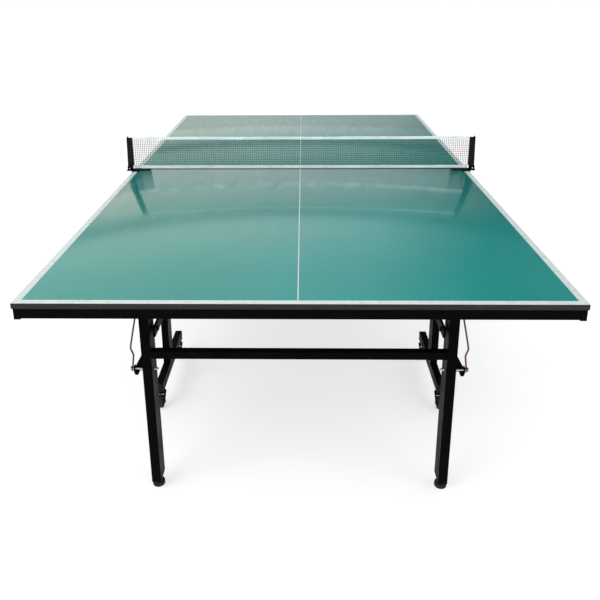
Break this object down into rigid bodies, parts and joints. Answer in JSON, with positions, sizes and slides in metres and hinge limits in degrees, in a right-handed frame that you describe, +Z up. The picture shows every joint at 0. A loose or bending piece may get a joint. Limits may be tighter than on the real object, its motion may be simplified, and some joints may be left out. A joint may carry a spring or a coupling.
{
  "type": "ping pong table",
  "caption": "Full-size two-half roll-away ping pong table with folding steel-framed tops, parallel-link legs, wheeled bases and a clamp-on net.",
  "frame": {"origin": "on the floor, under the middle of the net and of the whole table", "axes": "+Z up, +X across the table, +Y along it, from the near half to the far half"},
  "size_m": [1.585, 2.74, 0.915],
  "materials": {
    "playing_surface": "gloss",
    "edge_band": "gloss",
    "black_steel": "satin",
    "zinc": "satin",
    "red_wire": "gloss",
    "rubber": "matte",
    "wheel": "matte",
    "black_plastic": "satin",
    "net": "matte",
    "tape": "matte"
  },
  "bodies": {
    "near_base": {"near_base_cross_tube": "black_steel", "near_base_side_left": "black_steel", "near_base_side_right": "black_steel"},
    "near_top": {"near_board": "playing_surface", "near_edge_band": "edge_band", "near_top_frame": "black_steel", "near_leg_shaft": "zinc", "net_clamp_left": "black_steel", "net_clamp_right": "black_steel"},
    "near_legs": {"near_leg_left": "black_steel", "near_leg_right": "black_steel", "near_leg_crossbar": "black_steel"},
    "near_links": {"near_link_left": "black_steel", "near_link_right": "black_steel"},
    "near_leg_foot_left": {"near_leg_foot_left": "rubber"},
    "near_release_wire_left": {"near_release_wire_left": "red_wire"},
    "near_lock_pin_left": {"near_lock_pin_left": "zinc"},
    "near_caster_fork_left_outer": {"near_caster_fork_left_outer": "zinc"},
    "near_wheel_left_outer": {"near_wheel_left_outer": "wheel"},
    "near_caster_fork_left_inner": {"near_caster_fork_left_inner": "zinc"},
    "near_wheel_left_inner": {"near_wheel_left_inner": "wheel"},
    "near_leg_foot_right": {"near_leg_foot_right": "rubber"},
    "near_release_wire_right": {"near_release_wire_right": "red_wire"},
    "near_lock_pin_right": {"near_lock_pin_right": "zinc"},
    "near_caster_fork_right_outer": {"near_caster_fork_right_outer": "zinc"},
    "near_wheel_right_outer": {"near_wheel_right_outer": "wheel"},
    "near_caster_fork_right_inner": {"near_caster_fork_right_inner": "zinc"},
    "near_wheel_right_inner": {"near_wheel_right_inner": "wheel"},
    "far_base": {"far_base_cross_tube": "black_steel", "far_base_side_left": "black_steel", "far_base_side_right": "black_steel"},
    "far_top": {"far_board": "playing_surface", "far_edge_band": "edge_band", "far_top_frame": "black_steel", "far_leg_shaft": "zinc"},
    "far_legs": {"far_leg_left": "black_steel", "far_leg_right": "black_steel", "far_leg_crossbar": "black_steel"},
    "far_links": {"far_link_left": "black_steel", "far_link_right": "black_steel"},
    "far_leg_foot_left": {"far_leg_foot_left": "rubber"},
    "far_release_wire_left": {"far_release_wire_left": "red_wire"},
    "far_lock_pin_left": {"far_lock_pin_left": "zinc"},
    "far_caster_fork_left_outer": {"far_caster_fork_left_outer": "zinc"},
    "far_wheel_left_outer": {"far_wheel_left_outer": "wheel"},
    "far_caster_fork_left_inner": {"far_caster_fork_left_inner": "zinc"},
    "far_wheel_left_inner": {"far_wheel_left_inner": "wheel"},
    "far_leg_foot_right": {"far_leg_foot_right": "rubber"},
    "far_release_wire_right": {"far_release_wire_right": "red_wire"},
    "far_lock_pin_right": {"far_lock_pin_right": "zinc"},
    "far_caster_fork_right_outer": {"far_caster_fork_right_outer": "zinc"},
    "far_wheel_right_outer": {"far_wheel_right_outer": "wheel"},
    "far_caster_fork_right_inner": {"far_caster_fork_right_inner": "zinc"},
    "far_wheel_right_inner": {"far_wheel_right_inner": "wheel"},
    "net": {"net_cloth": "net", "net_top_tape": "tape", "net_post_left": "black_plastic", "net_post_right": "black_plastic"},
    "clamp_screw_left": {"clamp_screw_left": "black_plastic"},
    "clamp_screw_right": {"clamp_screw_right": "black_plastic"}
  },
  "joints": [
    {"name": "near_top_fold", "type": "hinge", "parent": "near_base", "child": "near_top", "pos_m": [0, -0.545, 0.7045], "axis": [-1, 0, 0], "range_deg": [0, 90]},
    {"name": "near_leg_fold", "type": "hinge", "parent": "near_top", "child": "near_legs", "pos_m": [0, -1.157, 0.7045], "axis": [-1, 0, 0], "range_deg": [-90, 0]},
    {"name": "near_link_turn", "type": "hinge", "parent": "near_base", "child": "near_links", "pos_m": [0, -0.53, 0.5645], "axis": [-1, 0, 0], "range_deg": [0, 90]},
    {"name": "near_foot_level_left", "type": "slide", "parent": "near_legs", "child": "near_leg_foot_left", "axis": [0, 0, -1], "range_m": [0, 0.012]},
    {"name": "near_release_left", "type": "hinge", "parent": "near_legs", "child": "near_release_wire_left", "pos_m": [-0.49, -1.157, 0.6845], "axis": [0, 1, 0], "range_deg": [0, 2.7], "stiffness_Nm_per_rad": 0.5},
    {"name": "near_lock_left", "type": "slide", "parent": "near_legs", "child": "near_lock_pin_left", "axis": [-1, 0, 0], "range_m": [0, 0.012]},
    {"name": "near_swivel_left_outer", "type": "hinge", "parent": "near_base", "child": "near_caster_fork_left_outer", "pos_m": [-0.538, -0.724, 0.06], "axis": [0, 0, 1], "continuous": true},
    {"name": "near_spin_left_outer", "type": "hinge", "parent": "near_caster_fork_left_outer", "child": "near_wheel_left_outer", "pos_m": [-0.538, -0.738, 0.025], "axis": [1, 0, 0], "continuous": true},
    {"name": "near_swivel_left_inner", "type": "hinge", "parent": "near_base", "child": "near_caster_fork_left_inner", "pos_m": [-0.538, -0.359, 0.06], "axis": [0, 0, 1], "continuous": true},
    {"name": "near_spin_left_inner", "type": "hinge", "parent": "near_caster_fork_left_inner", "child": "near_wheel_left_inner", "pos_m": [-0.538, -0.373, 0.025], "axis": [1, 0, 0], "continuous": true},
    {"name": "near_foot_level_right", "type": "slide", "parent": "near_legs", "child": "near_leg_foot_right", "axis": [0, 0, -1], "range_m": [0, 0.012]},
    {"name": "near_release_right", "type": "hinge", "parent": "near_legs", "child": "near_release_wire_right", "pos_m": [0.49, -1.157, 0.6845], "axis": [0, -1, 0], "range_deg": [0, 2.7], "stiffness_Nm_per_rad": 0.5},
    {"name": "near_lock_right", "type": "slide", "parent": "near_legs", "child": "near_lock_pin_right", "axis": [1, 0, 0], "range_m": [0, 0.012]},
    {"name": "near_swivel_right_outer", "type": "hinge", "parent": "near_base", "child": "near_caster_fork_right_outer", "pos_m": [0.538, -0.724, 0.06], "axis": [0, 0, 1], "continuous": true},
    {"name": "near_spin_right_outer", "type": "hinge", "parent": "near_caster_fork_right_outer", "child": "near_wheel_right_outer", "pos_m": [0.538, -0.738, 0.025], "axis": [1, 0, 0], "continuous": true},
    {"name": "near_swivel_right_inner", "type": "hinge", "parent": "near_base", "child": "near_caster_fork_right_inner", "pos_m": [0.538, -0.359, 0.06], "axis": [0, 0, 1], "continuous": true},
    {"name": "near_spin_right_inner", "type": "hinge", "parent": "near_caster_fork_right_inner", "child": "near_wheel_right_inner", "pos_m": [0.538, -0.373, 0.025], "axis": [1, 0, 0], "continuous": true},
    {"name": "halves_roll_apart", "type": "slide", "parent": "near_base", "child": "far_base", "axis": [0, 1, 0], "range_m": [0, 0.4]},
    {"name": "far_top_fold", "type": "hinge", "parent": "far_base", "child": "far_top", "pos_m": [0, 0.545, 0.7045], "axis": [1, 0, 0], "range_deg": [0, 90]},
    {"name": "far_leg_fold", "type": "hinge", "parent": "far_top", "child": "far_legs", "pos_m": [0, 1.157, 0.7045], "axis": [1, 0, 0], "range_deg": [-90, 0]},
    {"name": "far_link_turn", "type": "hinge", "parent": "far_base", "child": "far_links", "pos_m": [0, 0.53, 0.5645], "axis": [1, 0, 0], "range_deg": [0, 90]},
    {"name": "far_foot_level_left", "type": "slide", "parent": "far_legs", "child": "far_leg_foot_left", "axis": [0, 0, -1], "range_m": [0, 0.012]},
    {"name": "far_release_left", "type": "hinge", "parent": "far_legs", "child": "far_release_wire_left", "pos_m": [-0.49, 1.157, 0.6845], "axis": [0, 1, 0], "range_deg": [0, 2.7], "stiffness_Nm_per_rad": 0.5},
    {"name": "far_lock_left", "type": "slide", "parent": "far_legs", "child": "far_lock_pin_left", "axis": [-1, 0, 0], "range_m": [0, 0.012]},
    {"name": "far_swivel_left_outer", "type": "hinge", "parent": "far_base", "child": "far_caster_fork_left_outer", "pos_m": [-0.538, 0.724, 0.06], "axis": [0, 0, 1], "continuous": true},
    {"name": "far_spin_left_outer", "type": "hinge", "parent": "far_caster_fork_left_outer", "child": "far_wheel_left_outer", "pos_m": [-0.538, 0.738, 0.025], "axis": [1, 0, 0], "continuous": true},
    {"name": "far_swivel_left_inner", "type": "hinge", "parent": "far_base", "child": "far_caster_fork_left_inner", "pos_m": [-0.538, 0.359, 0.06], "axis": [0, 0, 1], "continuous": true},
    {"name": "far_spin_left_inner", "type": "hinge", "parent": "far_caster_fork_left_inner", "child": "far_wheel_left_inner", "pos_m": [-0.538, 0.373, 0.025], "axis": [1, 0, 0], "continuous": true},
    {"name": "far_foot_level_right", "type": "slide", "parent": "far_legs", "child": "far_leg_foot_right", "axis": [0, 0, -1], "range_m": [0, 0.012]},
    {"name": "far_release_right", "type": "hinge", "parent": "far_legs", "child": "far_release_wire_right", "pos_m": [0.49, 1.157, 0.6845], "axis": [0, -1, 0], "range_deg": [0, 2.7], "stiffness_Nm_per_rad": 0.5},
    {"name": "far_lock_right", "type": "slide", "parent": "far_legs", "child": "far_lock_pin_right", "axis": [1, 0, 0], "range_m": [0, 0.012]},
    {"name": "far_swivel_right_outer", "type": "hinge", "parent": "far_base", "child": "far_caster_fork_right_outer", "pos_m": [0.538, 0.724, 0.06], "axis": [0, 0, 1], "continuous": true},
    {"name": "far_spin_right_outer", "type": "hinge", "parent": "far_caster_fork_right_outer", "child": "far_wheel_right_outer", "pos_m": [0.538, 0.738, 0.025], "axis": [1, 0, 0], "continuous": true},
    {"name": "far_swivel_right_inner", "type": "hinge", "parent": "far_base", "child": "far_caster_fork_right_inner", "pos_m": [0.538, 0.359, 0.06], "axis": [0, 0, 1], "continuous": true},
    {"name": "far_spin_right_inner", "type": "hinge", "parent": "far_caster_fork_right_inner", "child": "far_wheel_right_inner", "pos_m": [0.538, 0.373, 0.025], "axis": [1, 0, 0], "continuous": true},
    {"name": "net_tilt", "type": "hinge", "parent": "near_top", "child": "net", "pos_m": [0, -0.008, 0.771], "axis": [-1, 0, 0], "range_deg": [-90, 0]},
    {"name": "clamp_screw_turn_left", "type": "hinge", "parent": "near_top", "child": "clamp_screw_left", "pos_m": [-0.7485, -0.024, 0.69], "axis": [0, 0, 1], "continuous": true},
    {"name": "clamp_screw_turn_right", "type": "hinge", "parent": "near_top", "child": "clamp_screw_right", "pos_m": [0.7485, -0.024, 0.69], "axis": [0, 0, 1], "continuous": true}
  ],
  "couplings": [
    {"joint": "near_leg_fold", "follows": "near_top_fold", "ratio": -1},
    {"joint": "near_link_turn", "follows": "near_top_fold", "ratio": 1},
    {"joint": "near_lock_left", "follows": "near_release_left", "m_per_rad": 0.2525},
    {"joint": "near_lock_right", "follows": "near_release_right", "m_per_rad": 0.2525},
    {"joint": "far_leg_fold", "follows": "far_top_fold", "ratio": -1},
    {"joint": "far_link_turn", "follows": "far_top_fold", "ratio": 1},
    {"joint": "far_lock_left", "follows": "far_release_left", "m_per_rad": 0.2525},
    {"joint": "far_lock_right", "follows": "far_release_right", "m_per_rad": 0.2525},
    {"joint": "net_tilt", "follows": "near_top_fold", "ratio": -1}
  ]
}
